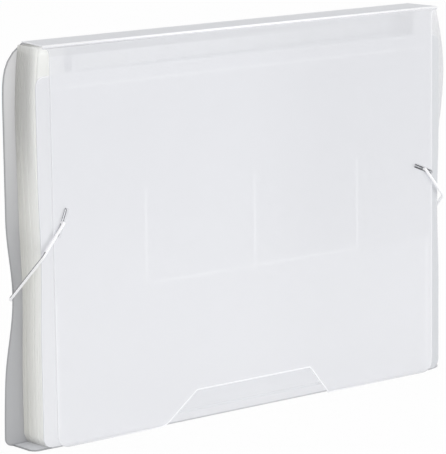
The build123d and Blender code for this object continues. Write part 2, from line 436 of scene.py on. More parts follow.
# %% Flap
FLAP_CORNER = 8.0 * MM
CUTOUT_HALF_TOP, CUTOUT_LEFT, CUTOUT_RIGHT = 46.5 * MM, 72.0 * MM, 62.0 * MM
CUTOUT_HEIGHT = 19.0 * MM
CUTOUT_CORNER, CUTOUT_FLARE = 2.0 * MM, 14.0 * MM
HOLE_RADIUS = 1.5 * MM

EAR_TIP, EAR_CURVE = 1.2 * MM, 3.3 * MM
EAR_LOW = flap_high.z - EAR_TIP
flap_corners = [
    (-HALF_FLAP, 0), (-CUTOUT_LEFT, 0), (-CUTOUT_HALF_TOP, CUTOUT_HEIGHT),
    (CUTOUT_HALF_TOP, CUTOUT_HEIGHT), (CUTOUT_RIGHT, 0), (HALF_FLAP, 0),
    (HALF_FLAP, EAR_LOW), (HALF_SPINE, EAR_LOW), (HALF_SPINE, flap_high.z),
    (-HALF_SPINE, flap_high.z), (-HALF_SPINE, EAR_LOW), (-HALF_FLAP, EAR_LOW),
]
flap_radii = [FLAP_CORNER, CUTOUT_FLARE, CUTOUT_CORNER, CUTOUT_CORNER, 0, FLAP_CORNER]
flap_radii += [EAR_CURVE, 0, 0, 0, 0, EAR_CURVE]


def hole(x, z, radius, steps=24):
    """A round hole's loop, clockwise, so that its left is the sheet."""
    return [
        Vector((x + radius * math.cos(turn), z + radius * math.sin(turn)))
        for turn in (-2 * math.pi * n / steps for n in range(steps))
    ]


flap_loops = [
    distinct(rounded(flap_corners, flap_radii)),
    hole(-HOLE_X, HOLE_Z, HOLE_RADIUS),
    hole(HOLE_X, HOLE_Z, HOLE_RADIUS),
]
print("flap outline", len(flap_loops[0]), "points")

# %% Flap sheet
NEAR_EDGE = 2.0 * MM


def cutout_glow(u, v):
    """The cut-out's edge glows most, the flap's right edge less and the rest of it hardly."""
    beside_cutout = -CUTOUT_LEFT - CUTOUT_FLARE < u < CUTOUT_RIGHT + NEAR_EDGE / 2
    if beside_cutout and v < CUTOUT_HEIGHT + NEAR_EDGE:
        return 0.7
    return 0.4 if u > HALF_FLAP - NEAR_EDGE and NEAR_EDGE < v < EAR_LOW else 0.1


flap_sheet = die_cut(
    "flap_sheet", flap_loops, lambda u, v, w: (u, flap_low.y + w, v), SHEET,
    "flap", "front_flap", cutout_glow,
)
print("flap points", len(flap_sheet.data.vertices))

# %% [markdown]
# The front board and the back panel have sides that are not straight: the tight elastic pulls a
# dent into each, the back panel flares a little at its foot, and slopes in to its top crease.

# %% Board and back panel
DENT_REACH = 50.0 * MM
BOARD_DENT, BOARD_DENT_HEIGHT = 1.2 * MM, 113.0 * MM
BACK_DENT, BACK_DENT_HEIGHT = 4.0 * MM, 89.0 * MM
BOARD_BOTTOM_CORNER, BOARD_TOP_CORNER = 6.0 * MM, 6.0 * MM
BACK_BOTTOM_CORNER = 5.0 * MM
BACK_FLARE, FLARE_REACH = 4.4 * MM, 105.0 * MM
SHOULDER_START, SHOULDER_POWER = BACK_TOP - 53.5 * MM, 6


def board_half_at(z):
    """Half width of the board at height z, with the dent that the elastic pulls."""
    return HALF_BOARD - swing(z, BOARD_DENT_HEIGHT, DENT_REACH, BOARD_DENT)


def back_half_at(z):
    """Half width of the back panel at height z: flared, dented, with sloping shoulders."""
    flare = swing(z, 0.0, FLARE_REACH, BACK_FLARE)
    rise = max(0.0, (z - SHOULDER_START) / (back_high.z - SHOULDER_START))
    shoulder = (HALF_BACK - HALF_SPINE_BACK) * rise**SHOULDER_POWER
    return HALF_BACK + flare - shoulder - swing(z, BACK_DENT_HEIGHT, DENT_REACH, BACK_DENT)


def board_glow(u, v):
    """Only the board's top edge catches the light, most of all behind the flap."""
    if v < board_high.z - NEAR_EDGE:
        return 0.12
    return 1.0 if abs(u) < HALF_FLAP - NEAR_EDGE else 0.3


board_loop = two_sided(board_half_at, board_low.z, board_high.z, BOARD_BOTTOM_CORNER, BOARD_TOP_CORNER)
board_sheet = die_cut(
    "board_sheet", [distinct(board_loop)], lambda u, v, w: (u, board_low.y + w, v), SHEET,
    "front", "front_board", board_glow,
)
back_loop = two_sided(back_half_at, 0.0, back_high.z, BACK_BOTTOM_CORNER, 0.0)
back_sheet = die_cut(
    "back_sheet", [distinct(back_loop)], lambda u, v, w: (u, back_low.y + w, v), SHEET,
    "root", "back_panel",
)
print("board points", len(board_sheet.data.vertices), "back points", len(back_sheet.data.vertices))

# %% [markdown]
# The file stands on its bottom panel, a strip as deep as the pleats. Its front corners are rounded,
# the right one more than the left one, as the outline in the photograph asks. It is cut from the
# same sheet, so it is made by the same function.

# %% Bottom panel
BASE_CORNER_LEFT, BASE_CORNER_RIGHT = 5.0 * MM, 13.0 * MM
base_corners = [
    (-base_high.x, base_low.y), (base_high.x, base_low.y),
    (base_high.x, base_high.y), (-base_high.x, base_high.y),
]
base_loop = rounded(base_corners, [BASE_CORNER_LEFT, BASE_CORNER_RIGHT, 0, 0])
base_sheet = die_cut(
    "bottom_sheet", [distinct(base_loop)], lambda u, v, w: (u, v, w), SHEET, "root", "bottom_panel",
    lambda u, v: 0.3 if u > HALF_BOARD - BASE_CORNER_RIGHT else 1.0,
)
print("bottom points", len(base_sheet.data.vertices))

# %% [markdown]
# The spine is the same sheet, laid between the creases at the top of the flap and of the back
# panel. The back panel is a little higher, so the spine slopes: its outline is drawn flat, along
# the slope, and on_spine puts each point in its place.

# %% Spine
flap_crease = Vector((0, flap_low.y + SHEET / 2, FLAP_TOP))
back_crease = Vector((0, back_low.y + SHEET / 2, BACK_TOP))
slope = (back_crease - flap_crease).normalized()
over = Vector((0, -slope.z, slope.y))
spine_length = (back_crease - flap_crease).length
near, far = CREASE_HALF, spine_length - CREASE_HALF
spine_loop = [Vector(p) for p in (
    (-HALF_SPINE, near), (HALF_SPINE, near), (HALF_SPINE_BACK, far), (-HALF_SPINE_BACK, far)
)]


def spine_glow(u, v):
    """Only the ends of the spine catch the light, not its long edges; v plays no part."""
    return 0.4 if abs(u) > HALF_SPINE_BACK - NEAR_EDGE else 0.0


def on_spine(u, v, w):
    """The point that is u along the spine, v from the flap's crease and w above the lower face."""
    return Vector((u, 0, 0)) + flap_crease + slope * v + over * (w - SHEET / 2)


spine_sheet = die_cut("spine_sheet", [spine_loop], on_spine, SHEET, "spine", "spine_panel", spine_glow)
print("spine", round(spine_length / MM, 1), "mm deep")

# %% [markdown]
# Between the panels the sheet is only pressed thin, so it bends there like a hinge. Each crease is
# a narrow curved strip that joins two panels and turns smoothly in between; on the real file it
# has to bend when the cover opens.

# %% Creases
CREASE_STEPS = 8
# CREASE_RIM gives the creases part of the rim's colour and glow: a painted highlight on flap and back.
CREASE_RIM = 0.5


def crease(name, a, corner, b, half_a, half_b):
    """A curved strip of sheet from edge a round corner to edge b; they lie in the YZ plane."""
    a, corner, b = Vector(a), Vector(corner), Vector(b)
    rings = []
    for n in range(CREASE_STEPS + 1):
        t = n / CREASE_STEPS
        middle = a * (1 - t) ** 2 + corner * 2 * t * (1 - t) + b * t**2
        ahead = ((corner - a) * (1 - t) + (b - corner) * t).normalized()
        normal = Vector((0, -ahead.z, ahead.y)) * SHEET / 2
        half = half_a + (half_b - half_a) * t
        across = Vector((half, 0, 0))
        rings.append([middle + normal - across, middle + normal + across,
                      middle - normal + across, middle - normal - across])
    points, faces = tube(rings)
    piece = mesh_piece(name, points, faces, smooth=False, rim=[CREASE_RIM] * len(points))
    for polygon in piece.data.polygons:
        polygon.use_smooth = abs(polygon.normal.x) < 0.5
    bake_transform(piece)
    return piece


crease_pieces = [
    crease("flap_crease", on_spine(0, near, SHEET / 2), flap_crease, (0, flap_crease.y, flap_high.z),
           HALF_SPINE, HALF_SPINE),
    crease("back_crease", (0, back_crease.y, back_high.z), back_crease, on_spine(0, far, SHEET / 2),
           HALF_SPINE_BACK, HALF_SPINE_BACK),
]
board_middle = board_low.y + SHEET / 2
half_foot = HALF_BOARD - BOARD_BOTTOM_CORNER
crease_pieces.append(crease(
    "foot_crease", (0, base_low.y, SHEET / 2), (0, board_middle, SHEET / 2), (0, board_middle, board_low.z),
    half_foot, half_foot,
))
print("creases", [p.name for p in crease_pieces])

# %% [markdown]
# The pleats are thin milky film, folded like an accordion. When the file is shut they lie pressed
# together, so from outside one sees a row of soft round folds that nearly touch. Each level is one
# long line that goes out and back for each pocket, and the levels are stacked. Hand-folded film is
# never quite even, so each fold reaches a little more or less than its neighbour.

# %% Shape of the side gussets
GUSSET_LOW, GUSSET_TOP = 1.4 * MM, FLAP_TOP - 1.0 * MM
GUSSET_SHOULDER_HEIGHT = 47.0 * MM
LEFT_SHOULDER_INSET, RIGHT_SHOULDER_INSET = 2.8 * MM, 3.0 * MM
GUSSET_FOOT = 6.0 * MM
LEFT_SWELL, RIGHT_SWELL = 1.5 * MM, 8.0 * MM
SWELL_REACH, SWELL_DROP, SWELL_RISE = 80.0 * MM, 40.0 * MM, 12.0
FLANGE = 6.0 * MM
FOLD_REACH = 1.1 * MM
FOLD_FILL = 0.90
WELD_GAP, VALLEY_GAP = 0.15 * MM, 0.12 * MM
VALLEY_SLOPE, CAP_START = 2.0 * MM, 4.0 * MM
CAP_STEPS = 8
LEVEL_STEP = 5.0 * MM
UNEVEN = 0.30 * MM
LEFT_PHASE = 7


def ridge_half_at(z, share, inset, swell):
    """Half width over the outer folds; share is 0 at the board and 1 at the back panel."""
    height = BOARD_DENT_HEIGHT + share * (BACK_DENT_HEIGHT - BOARD_DENT_HEIGHT)
    inward = swing(z, height, DENT_REACH, BOARD_DENT)
    outward = swing(z, FLAP_TOP - SWELL_DROP, SWELL_REACH, swell) * min(1.0, SWELL_RISE * share * (1 - share))
    rise = max(0.0, (z - GUSSET_TOP + GUSSET_SHOULDER_HEIGHT) / GUSSET_SHOULDER_HEIGHT)
    drop = max(0.0, GUSSET_FOOT - z)
    foot = GUSSET_FOOT - math.sqrt(GUSSET_FOOT**2 - drop**2)
    return RIDGE_HALF + outward - inward - inset * rise**2 - foot


def pleat_line(reach_of, first):
    """One level of pleated film as (outward, y): first is where the welded flanges start."""
    y0, y1 = board_high.y + WELD_GAP, back_low.y - WELD_GAP
    half = PITCH / 2 * FOLD_FILL
    valley_half = PITCH / 2 - VALLEY_GAP
    line = [(first, y0), ((first + VALLEY_HALF) / 2, y0)]
    for n in range(POCKETS):
        middle = board_high.y + PITCH * (n + 0.5)
        reach = reach_of(n)
        line.append((VALLEY_HALF, max(y0, middle - valley_half)))
        line.append((VALLEY_HALF + VALLEY_SLOPE, middle - half))
        line.append((reach - CAP_START, middle - half))
        for k in range(CAP_STEPS + 1):
            turn = math.pi * k / CAP_STEPS
            line.append((reach - FOLD_REACH + FOLD_REACH * math.sin(turn), middle - half * math.cos(turn)))
        line.append((reach - CAP_START, middle + half))
        line.append((VALLEY_HALF + VALLEY_SLOPE, middle + half))
        line.append((VALLEY_HALF, min(y1, middle + valley_half)))
    line += [((first + VALLEY_HALF) / 2, y1), (first, y1)]
    return line


def uneven(n, z):
    """How much fold n reaches out more or less at height z."""
    return UNEVEN * (0.6 * math.sin(2.4 * n + 1.0) + 0.4 * math.sin(1.7 * n + z / (31.0 * MM)))


# %% [markdown]
# The grid of points has no thickness yet. A Solidify modifier gives it that, half to each side,
# and is applied so that the mesh is final. The film has to spread as the file opens.

# %% Pleated film


def film_solid(name, sheets, thickness, node):
    """A grid of points with a little thickness."""
    rows, columns = len(sheets), len(sheets[0])
    points = [p for row in sheets for p in row]
    faces = [
        (r * columns + c, r * columns + c + 1, (r + 1) * columns + c + 1, (r + 1) * columns + c)
        for r in range(rows - 1)
        for c in range(columns - 1)
    ]
    piece = mesh_piece(name, points, faces)
    shell = piece.modifiers.new("film", "SOLIDIFY")
    shell.thickness = thickness
    shell.offset = 0.0
    with bpy.context.temp_override(object=piece, active_object=piece):
        bpy.ops.object.modifier_apply(modifier=shell.name)
    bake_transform(piece)
    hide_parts(node)
    return piece


def side_gusset(name, side, node):
    """The pleats on one side: side is -1 on the left and 1 on the right."""
    count = round((GUSSET_TOP - GUSSET_LOW) / LEVEL_STEP)
    inset = RIGHT_SHOULDER_INSET if side > 0 else LEFT_SHOULDER_INSET
    swell = RIGHT_SWELL if side > 0 else LEFT_SWELL
    phase = 0 if side > 0 else LEFT_PHASE
    sheets = []
    for level in range(count + 1):
        z = GUSSET_LOW + (GUSSET_TOP - GUSSET_LOW) * level / count
        line = pleat_line(
            lambda n: ridge_half_at(z, (n + 0.5) / POCKETS, inset, swell) + uneven(n + phase, z) - FILM / 2,
            VALLEY_HALF - FLANGE,
        )
        sheets.append([(side * x, y, z) for x, y in line])
    return film_solid(name, sheets, FILM, node)


left_pleats = side_gusset("left_pleats", -1, "left_gusset")
right_pleats = side_gusset("right_pleats", 1, "right_gusset")
print("pleat points", len(left_pleats.data.vertices))

# %% [markdown]
# The same film closes the pockets below. It is the same line of folds, turned so that the outer
# folds point down to the bottom panel, and drawn a little less deep than the side folds, so that
# the dividers clear it when they fan out.

# %% Bottom gusset
BOTTOM_RIDGE = SHEET + 0.6 * MM + FILM
BOTTOM_COLUMNS = 12
BOTTOM_DEPTH_SHARE = 0.95
bottom_half = VALLEY_HALF - FLANGE - 0.1 * MM
bottom_reach = VALLEY_HALF + PLEAT_DEPTH
bottom_line = pleat_line(lambda n: bottom_reach, VALLEY_HALF - FLANGE)
bottom_sheets = []
for column in range(BOTTOM_COLUMNS + 1):
    x = -bottom_half + 2 * bottom_half * column / BOTTOM_COLUMNS
    bottom_sheets.append([
        (x, y, BOTTOM_RIDGE + (bottom_reach - reach) * BOTTOM_DEPTH_SHARE) for reach, y in bottom_line
    ])
bottom_pleats = film_solid("bottom_pleats", bottom_sheets, FILM, "bottom_gusset")
print("bottom pleats", len(bottom_pleats.data.vertices))

# %% [markdown]
# A barb holds each end of the elastic behind its hole. It is a strip of plated steel rolled into a
# flat tube, so it has two long round walls with a seam between them. The section is drawn as a
# ring of points round a flat C, and swept along the strip with ends that close in.

# %% Barbs
BARB_LENGTH, BARB_WIDTH, BARB_THICKNESS = 18.0 * MM, 2.4 * MM, 1.2 * MM
LEFT_TILT, RIGHT_TILT = math.radians(67), math.radians(-22)
SEAM_WIDTH, SEAM_DEPTH = 0.9 * MM, 0.6 * MM
ROUND_ACROSS, ROUND_DEPTH = 0.6, 0.7
BARB_GAP, BARB_TIP = 0.2 * MM, 0.12
BARB_STEPS = 36
BARB_SIDES = 32


def barb_section(turn):
    """A point of the rolled section: across and depth from the strip's middle."""
    across = BARB_WIDTH / 2 * math.copysign(abs(math.cos(turn)) ** ROUND_ACROSS, math.cos(turn))
    depth = BARB_THICKNESS / 2 * math.copysign(abs(math.sin(turn)) ** ROUND_DEPTH, math.sin(turn))
    if depth < 0 and abs(across) < SEAM_WIDTH / 2:
        depth += SEAM_DEPTH * math.cos(math.pi * across / SEAM_WIDTH)
    return across, depth


def rolled_barb(name, x, tilt, node):
    """A barb that lies flat behind the hole at x, turned by tilt, with the number wall on it."""
    middle_y = flap_high.y + BARB_GAP + BARB_THICKNESS / 2
    rings, walls = [], []
    for step in range(BARB_STEPS + 1):
        along = -math.cos(math.pi * step / BARB_STEPS) * BARB_LENGTH / 2
        near_end = max(0.0, abs(along) - (BARB_LENGTH / 2 - BARB_WIDTH / 2)) / (BARB_WIDTH / 2)
        close = max(BARB_TIP, math.sqrt(max(0.0, 1 - near_end**2)))
        ring = []
        for k in range(BARB_SIDES):
            across, depth = barb_section(2 * math.pi * k / BARB_SIDES)
            walls.append(abs(across) / (BARB_WIDTH / 2))
            across *= close
            ring.append((
                x + along * math.cos(tilt) - across * math.sin(tilt),
                middle_y + depth,
                HOLE_Z + along * math.sin(tilt) + across * math.cos(tilt),
            ))
        rings.append(ring)
    points, faces = tube(rings)
    piece = mesh_piece(name, points, faces, wall=walls)
    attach(piece, "flap")
    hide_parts(node)
    return piece


left_barb = rolled_barb("left_rolled_barb", -HOLE_X, LEFT_TILT, "left_barb")
right_barb = rolled_barb("right_rolled_barb", HOLE_X, RIGHT_TILT, "right_barb")
print("barb points", len(left_barb.data.vertices))

# %% [markdown]
# Through the flap one sees the welds of the card pocket's film, a little right of the middle. The
# packed film is taken over point by point and moved there, so that it keeps its raised welds.

# %% Card pocket
CARD_SHIFT = Vector((3.4 * MM, 0, -1.8 * MM))
packed_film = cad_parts["card_pocket"]
card_points = [packed_film.matrix_world @ v.co + CARD_SHIFT for v in packed_film.data.vertices]
card_faces = [tuple(p.vertices) for p in packed_film.data.polygons]
card_film = mesh_piece("card_film", card_points, card_faces, smooth=False)
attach(card_film, "front")
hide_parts("card_pocket")
print("card film points", len(card_points))

# %% [markdown]
# Every finish is worked out by a node tree. Written as sums in Python, a tree can be read line by
# line: a Wire is one output in the tree, and plus, minus and times on it add the maths node for
# that. Any other node comes from its one method node.

# %% Shader maths


class Wire:
    """An output in a material's node tree. Arithmetic on it adds Math nodes."""

    def __init__(self, tree, socket=None):
        self.tree = tree
        self.socket = socket

    def node(self, kind, settings=None, inputs=None, out=0):
        """Adds a node: its settings first, then its inputs by name or number, as values or wires."""
        made = self.tree.nodes.new(kind)
        for key, value in (settings or {}).items():
            setattr(made, key, value)
        for key, value in (inputs or {}).items():
            if isinstance(value, Wire):
                self.tree.links.new(value.socket, made.inputs[key])
            else:
                made.inputs[key].default_value = value
        return Wire(self.tree, made.outputs[out])

    def sum(self, operation, *others):
        inputs = {i: value for i, value in enumerate((self, *others))}
        return self.node("ShaderNodeMath", {"operation": operation}, inputs)

    def __add__(self, other):
        return self.sum("ADD", other)

    def __sub__(self, other):
        return self.sum("SUBTRACT", other)

    def __mul__(self, other):
        return self.sum("MULTIPLY", other)

    def __rsub__(self, other):
        return (self * -1.0) + other

    __radd__ = __add__
    __rmul__ = __mul__

    def size(self):
        """The value without its sign."""
        return self.sum("ABSOLUTE")

    def most(self, other):
        """The larger of the two."""
        return self.sum("MAXIMUM", other)

    def rise(self, low, high):
        """0 below low, 1 above high and a smooth step between them."""
        return self.node(
            "ShaderNodeMapRange", {"interpolation_type": "SMOOTHSTEP"},
            {"Value": self, "From Min": low, "From Max": high},
        )

    def mix(self, first, second):
        """The first colour where this wire is 0 and the second where it is 1."""
        return self.node(
            "ShaderNodeMix", {"data_type": "RGBA"}, {0: self, 6: first, 7: second}, out=2
        )


# %% [markdown]
# These helpers are what the finishes share: a Principled shader with its fixed values, a way to
# link wires to it, the point on the piece in metres, a noise and a bump.

# %% Finish helpers


def new_finish(name, roughness, **fixed):
    """A material with a Principled shader, its fixed values set, and a first wire to work from."""
    material = bpy.data.materials.new(name)
    material.use_nodes = True
    shader = material.node_tree.nodes["Principled BSDF"]
    shader.inputs["Roughness"].default_value = roughness
    for key, value in fixed.items():
        shader.inputs[key.replace("_", " ")].default_value = value
    return material, shader, Wire(material.node_tree)


def connect(shader, **links):
    """Links wires to the shader's inputs, which are named with _ for a space."""
    for key, wire in links.items():
        wire.tree.links.new(wire.socket, shader.inputs[key.replace("_", " ")])


def place_of(start):
    """The point on the piece, in metres, as three wires and as one."""
    point = start.node("ShaderNodeTexCoord", out="Object")
    split = point.node("ShaderNodeSeparateXYZ", inputs={0: point})
    x, y, z = (Wire(start.tree, split.socket.node.outputs[i]) for i in range(3))
    return point, x, y, z


def noise(point, scale, detail=2.0, rough=0.5):
    return point.node(
        "ShaderNodeTexNoise", inputs={"Vector": point, "Scale": scale, "Detail": detail, "Roughness": rough}
    )


def bump(height, distance, strength=1.0):
    return height.node(
        "ShaderNodeBump", inputs={"Height": height, "Distance": distance, "Strength": strength}, out="Normal"
    )


def dress(piece, material):
    """Gives a piece this material alone."""
    piece.data.materials.clear()
    piece.data.materials.append(material)


# %% [markdown]
# The cover sheet is translucent plastic with a fine satin grain: a cool white, whose alpha lets a
# little of what lies behind show through. At the rim the sheet covers fully and changes colour. In
# the photograph flap and board are paler near the foot and a trace darker towards the right. That
# is probably the light there and not the plastic. Even lamps don't give it, so it is mixed into
# the colour, where it stays under other lamps too. With FAR_DIM and FAR_DIM_ABOVE at 0 the right
# side is as pale as the left. The shades below are of the flap, the board, the back panel and the
# spine, and of what is pressed on them.

# %% Cover shades
COVER_WHITE = (0.795, 0.803, 0.837, 1)
LOW_WHITE = (0.85, 0.857, 0.887, 1)
# Painted shadow: darkens the flap's lowest edge and the foot crease, where the file meets the floor.
FOOT_PAINTED_SHADOW = (0.67, 0.68, 0.70, 1)
# Painted shade: the spine is the same sheet as the flap, coloured darker as its top is less lit.
SPINE_SHADED_WHITE = (0.695, 0.705, 0.735, 1)
# CREASE_WHITE is partly the whitening of pressed plastic and partly a painted highlight.
CREASE_WHITE = (0.93, 0.94, 0.96, 1)
RIM_WHITE = (0.98, 0.985, 1.0, 1)
# Painted shade: the back panel's margins beyond the pleats, grey low down and paler towards the top.
MARGIN_SHADE_GREY = (0.49, 0.495, 0.51, 1)
MARGIN_SHADE_PALE = (0.76, 0.76, 0.77, 1)
EDGE_GREY = (0.36, 0.365, 0.38, 1)
# Painted shade: the board's strip right of the flap is coloured darker.
BOARD_PAINTED_SHADE = (0.71, 0.725, 0.75, 1)
# Painted shade: a band across the flap under its top crease, where the space behind is empty.
BAND_PAINTED_SHADE = (0.74, 0.748, 0.777, 1)
FAR_START, FAR_END = -20.0 * MM, 70.0 * MM
FAR_DIM, FAR_DIM_ABOVE = 0.024, 0.016
POCKET_LOW, POCKET_HIGH = 88.0 * MM, 94.0 * MM
BLACK = (0, 0, 0, 1)
PALE_HEIGHT = 220.0 * MM
MARGIN_LOW, MARGIN_HIGH = 100.0 * MM, 240.0 * MM
BAND_LOW, BAND_HIGH = 237.0 * MM, 241.0 * MM
FOOT_LOW, FOOT_HIGH = 0.4 * MM, 1.4 * MM
# The LINE_ sizes place a painted highlight: a bright, glowing line across the board.
LINE_HEIGHT, LINE_HALF, LINE_FADE, LINE_END = 217.0 * MM, 0.4 * MM, 1.0 * MM, 6.0 * MM
LINE_HIGHLIGHT = 0.5
PRINT_ALPHA = 0.06
CLOUD_SCALE, CLOUD_SHARE, GRAIN_SCALE = 14.0, 0.97, 2600.0
print("flap shade", COVER_WHITE[:3])

# %% [markdown]
# Where a barb presses on the flap from behind, the sheet is nearly clear, as frosted plastic is
# wherever something touches it. So a mask in the shape of the barb is worked out from the place on
# the flap, and alpha falls there.

# %% Cover finish


def barb_print(x, z, hole_x, tilt):
    """1 where the barb behind a hole touches the flap, 0 elsewhere."""
    right_of = x - hole_x
    above = z - HOLE_Z
    along = right_of * math.cos(tilt) + above * math.sin(tilt)
    across = above * math.cos(tilt) - right_of * math.sin(tilt)
    beside = across.size().rise(0.56 * BARB_WIDTH, 0.68 * BARB_WIDTH)
    beyond = along.size().rise(0.49 * BARB_LENGTH, 0.51 * BARB_LENGTH)
    return 1 - beside.most(beyond)


def cover_finish(name, alpha, tint=COVER_WHITE, edge=RIM_WHITE, glow=0.25, part=""):
    """Frosted sheet: alpha is how much it covers, glow how bright its rim is, part what it is of."""
    material, shader, start = new_finish(name, 0.42, Specular_IOR_Level=0.4, Emission_Strength=glow)
    point, x, y, z = place_of(start)
    rim = start.node("ShaderNodeAttribute", {"attribute_name": "rim"}, out="Fac")
    cloud = noise(point, CLOUD_SCALE, 3.0)
    grain = noise(point, GRAIN_SCALE, 1.0)
    base = cloud.mix([CLOUD_SHARE * c for c in tint[:3]] + [1], tint)
    if part in ("flap", "board"):
        base = z.rise(0.0, PALE_HEIGHT).mix(LOW_WHITE, base)
        dim = z.rise(POCKET_LOW, POCKET_HIGH) * FAR_DIM_ABOVE + FAR_DIM
        base = (x.rise(FAR_START, FAR_END) * dim).mix(base, BLACK)
    if part == "back":
        # Painted shade on the margins beyond the pleats.
        beyond = x.size().rise(VALLEY_HALF, RIDGE_HALF)
        base = beyond.mix(base, z.rise(MARGIN_LOW, MARGIN_HIGH).mix(MARGIN_SHADE_GREY, MARGIN_SHADE_PALE))
    if part == "board":
        # Painted highlight: a line across the board at LINE_HEIGHT joins the rim, so it is white and glows.
        off_line = (z - LINE_HEIGHT).size().rise(LINE_HALF, LINE_FADE)
        beside = x.size().rise(HALF_FLAP - LINE_END, HALF_FLAP)
        rim = rim.most((1 - off_line.most(beside)) * LINE_HIGHLIGHT)
        # Painted shade on the board's strip right of the flap.
        base = x.rise(HALF_FLAP - LINE_END / 2, HALF_FLAP + LINE_END / 2).mix(base, BOARD_PAINTED_SHADE)
    cover = rim * (1 - alpha) + alpha
    if part == "flap":
        # Painted shade in a band just under the flap's top crease.
        band = z.rise(BAND_LOW - MM, BAND_LOW) * (1 - z.rise(BAND_HIGH, BAND_HIGH + MM))
        base = band.mix(base, BAND_PAINTED_SHADE)
        # Painted shadow along the flap's foot.
        base = z.rise(FOOT_LOW, FOOT_HIGH).mix(FOOT_PAINTED_SHADOW, base)
        prints = barb_print(x, z, -HOLE_X, LEFT_TILT).most(barb_print(x, z, HOLE_X, RIGHT_TILT))
        cover = cover - prints * (alpha - PRINT_ALPHA)
    connect(
        shader,
        Base_Color=rim.mix(base, edge),
        Alpha=cover,
        Roughness=0.36 + cloud * 0.12,
        Normal=bump(grain, 0.02 * MM, 0.5),
        Emission_Color=rim.mix(BLACK, edge),
    )
    return material


# %% Dressed cover
dress(flap_sheet, cover_finish("frosted_flap", 0.62, part="flap"))
dress(board_sheet, cover_finish("frosted_board", 0.90, part="board"))
dress(back_sheet, cover_finish("frosted_back", 0.97, edge=EDGE_GREY, glow=0.0, part="back"))
# The spine's darker tint is painted shade.
dress(spine_sheet, cover_finish("frosted_spine", 0.90, tint=SPINE_SHADED_WHITE))
dress(base_sheet, cover_finish("frosted_base", 0.95, edge=EDGE_GREY, glow=0.0))
# Flap and back creases: whitened where pressed, plus a painted highlight and glow.
crease_finish = cover_finish("pressed_crease_highlight", 0.95, tint=CREASE_WHITE)
for piece in crease_pieces:
    dress(piece, crease_finish)
# The foot crease is darkened with painted shadow.
dress(crease_pieces[-1], cover_finish("shadowed_foot_crease", 0.95, tint=FOOT_PAINTED_SHADOW, edge=FOOT_PAINTED_SHADOW, glow=0.0))
print("creases dressed", len(crease_pieces))

# %% [markdown]
# The pleats are milky film, creamier than the cover. Subsurface scattering gives the soft look of
# light inside the film, but not the way it is passed on from fold to fold, so light and shade are
# also painted into the colour from the place: pale in front, darker towards the back panel and near
# the top, and greyer towards the right side. A weak glow, painted light, brightens the film except
# high up away from the front.

# %% Pleated film finish
PLEAT_FRONT = (0.87, 0.875, 0.86, 1)
PLEAT_REAR = (0.66, 0.66, 0.63, 1)
PLEAT_TOP_FRONT = (0.80, 0.805, 0.79, 1)
PLEAT_TOP_REAR = (0.60, 0.60, 0.575, 1)
FAR_FILM_SHADE = (0.74, 0.745, 0.76, 1)
PLEAT_TOP_LOW, PLEAT_TOP_HIGH = 140.0 * MM, 210.0 * MM


def pleat_finish():
    """Light that comes in through the top and front leaves the film again lower down and in front."""
    material, shader, start = new_finish(
        "milky_film", 0.35, Subsurface_Weight=0.6, Subsurface_Scale=0.004, Emission_Strength=0.10
    )
    shader.inputs["Subsurface Radius"].default_value = (1.0, 1.0, 1.0)
    point, x, y, z = place_of(start)
    depth = y.rise(board_high.y, back_low.y)
    cloud = noise(point, 60.0, 2.0)
    top = z.rise(PLEAT_TOP_LOW, PLEAT_TOP_HIGH)
    colour = top.mix(depth.mix(PLEAT_FRONT, PLEAT_REAR), depth.mix(PLEAT_TOP_FRONT, PLEAT_TOP_REAR))
    # Painted shade: the film greys towards the right side.
    colour = x.rise(0.0, HALF_BOARD).mix(colour, FAR_FILM_SHADE)
    # Painted light: the weak glow, cut off high up away from the front.
    dim = top * depth.rise(0.0, 0.3)
    connect(
        shader, Base_Color=colour, Emission_Color=dim.mix(colour, BLACK),
        Roughness=0.30 + cloud * 0.14, Normal=bump(cloud, 0.15 * MM, 0.4),
    )
    return material


milky_film = pleat_finish()
for piece in (left_pleats, right_pleats, bottom_pleats):
    dress(piece, milky_film)
print("pleats dressed", milky_film.name)

# %% [markdown]
# Inside are the dividers, of thin frosted sheet, with a clear sleeve on each tab and a blank paper
# label in it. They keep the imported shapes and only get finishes, each with its own fine relief.

# %% Divider, sleeve and label finishes


def leaf_finish():
    material, shader, start = new_finish("frosted_leaf", 0.45)
    point = place_of(start)[0]
    cloud = noise(point, 20.0, 3.0)
    grain = noise(point, GRAIN_SCALE, 1.0)
    colour = cloud.mix((0.78, 0.80, 0.83, 1), (0.84, 0.855, 0.88, 1))
    connect(shader, Base_Color=colour, Roughness=0.38 + cloud * 0.14, Normal=bump(grain, 0.02 * MM, 0.5))
    return material


def clear_finish(name, alpha):
    material, shader, start = new_finish(name, 0.18, Specular_IOR_Level=0.5)
    point = place_of(start)[0]
    ripple = noise(point, 90.0, 2.0)
    streak = noise(point, 700.0, 1.0)
    colour = ripple.mix((0.84, 0.86, 0.88, 1), (0.90, 0.915, 0.93, 1))
    connect(
        shader, Base_Color=colour, Roughness=0.12 + ripple * 0.16, Alpha=streak * 0.04 + alpha,
        Normal=bump(ripple, 0.3 * MM, 0.3),
    )
    return material


def paper_finish():
    material, shader, start = new_finish("plain_label_paper", 0.85)
    point = place_of(start)[0]
    fibre = noise(point, 1400.0, 4.0, 0.7)
    colour = fibre.mix((0.86, 0.86, 0.84, 1), (0.93, 0.93, 0.91, 1))
    connect(shader, Base_Color=colour, Roughness=0.80 + fibre * 0.12, Normal=bump(fibre, 0.03 * MM, 0.5))
    return material


